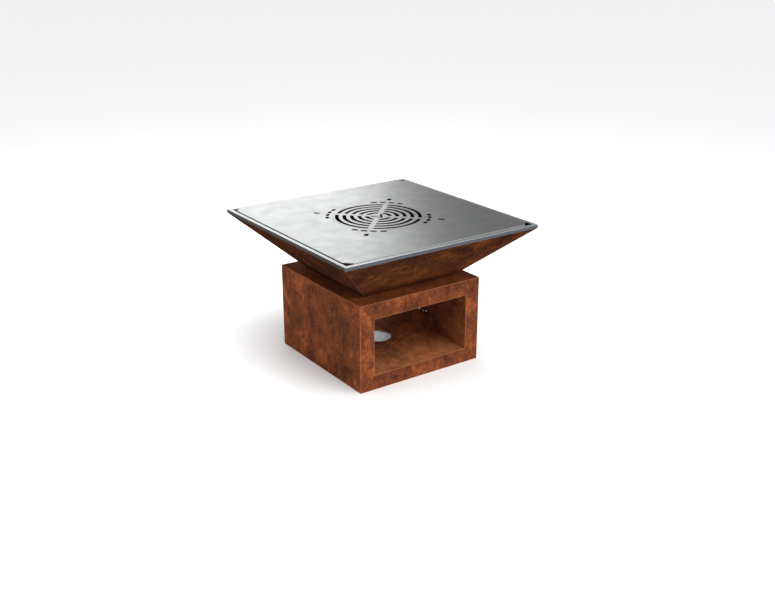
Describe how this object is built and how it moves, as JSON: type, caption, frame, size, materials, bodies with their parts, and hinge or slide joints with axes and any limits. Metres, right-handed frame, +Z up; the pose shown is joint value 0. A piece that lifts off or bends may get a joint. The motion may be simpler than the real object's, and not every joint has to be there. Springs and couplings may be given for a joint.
{
  "type": "fire pit with grate",
  "caption": "Square fire bowl with a steel cooking plate and a round slotted grate, standing on a box base that stores wood in an open tunnel.",
  "frame": {"origin": "centre of the base's underside, on the ground", "axes": "+Z up, the wood store runs along Y with its front towards -Y, +X to the right when facing the front"},
  "size_m": [0.9, 0.9, 0.592],
  "materials": {
    "base_rust": "weathering steel, matt mottled rust",
    "bowl_rust": "weathering steel, matt mottled rust",
    "rim_steel": "ground bar",
    "brushed_plate_steel": "long-grain brushed, smudged",
    "brushed_grate_steel": "long-grain brushed, smudged",
    "mill_steel": "dark mill scale",
    "damper_steel": "plain sheet",
    "zinc_fastener": "zinc plated",
    "dish_steel": "satin sheet"
  },
  "bodies": {
    "base": {"back_frame_bottom": "base_rust", "back_frame_left": "base_rust", "back_frame_right": "base_rust", "back_frame_top": "base_rust", "base_bottom_panel": "base_rust", "base_left_panel": "base_rust", "base_right_panel": "base_rust", "base_top_panel": "base_rust", "front_frame_bottom": "base_rust", "front_frame_left": "base_rust", "front_frame_right": "base_rust", "front_frame_top": "base_rust", "store_floor": "base_rust", "store_left_wall": "base_rust", "store_right_wall": "base_rust", "wall_rivets": "zinc_fastener"},
    "bowl": {"bowl_back_wall": "bowl_rust", "bowl_floor": "bowl_rust", "bowl_front_wall": "bowl_rust", "bowl_left_wall": "bowl_rust", "bowl_right_wall": "bowl_rust", "plate_back_ledge": "mill_steel", "plate_front_ledge": "mill_steel", "plate_left_ledge": "mill_steel", "plate_right_ledge": "mill_steel", "rim_back_bar": "rim_steel", "rim_front_bar": "rim_steel", "rim_left_bar": "rim_steel", "rim_right_bar": "rim_steel", "locating_ring": "mill_steel", "damper_bolt": "zinc_fastener", "damper_washer": "zinc_fastener", "damper_nut": "zinc_fastener"},
    "damper": {"damper_disc": "damper_steel", "damper_handle": "damper_steel"},
    "plate": {"cooking_plate": "brushed_plate_steel", "grate_tab_back_left": "mill_steel", "grate_tab_back_right": "mill_steel", "grate_tab_front_left": "mill_steel", "grate_tab_front_right": "mill_steel"},
    "grate": {"grill_grate": "brushed_grate_steel"},
    "dish": {"ash_dish": "dish_steel"}
  },
  "joints": [
    {"name": "bowl_lift", "type": "slide", "parent": "base", "child": "bowl", "axis": [0, 0, 1], "range_m": [0, 0.25]},
    {"name": "damper_turn", "type": "hinge", "parent": "bowl", "child": "damper", "pos_m": [0, 0, 0.3575], "axis": [0, 0, 1], "range_deg": [0, 45]},
    {"name": "plate_lift", "type": "slide", "parent": "bowl", "child": "plate", "axis": [0, 0, 1], "range_m": [0, 0.2]},
    {"name": "grate_lift", "type": "slide", "parent": "plate", "child": "grate", "axis": [0, 0, 1], "range_m": [0, 0.2]},
    {"name": "dish_slide", "type": "slide", "parent": "base", "child": "dish", "axis": [0, -1, 0], "range_m": [0, 0.38]}
  ]
}
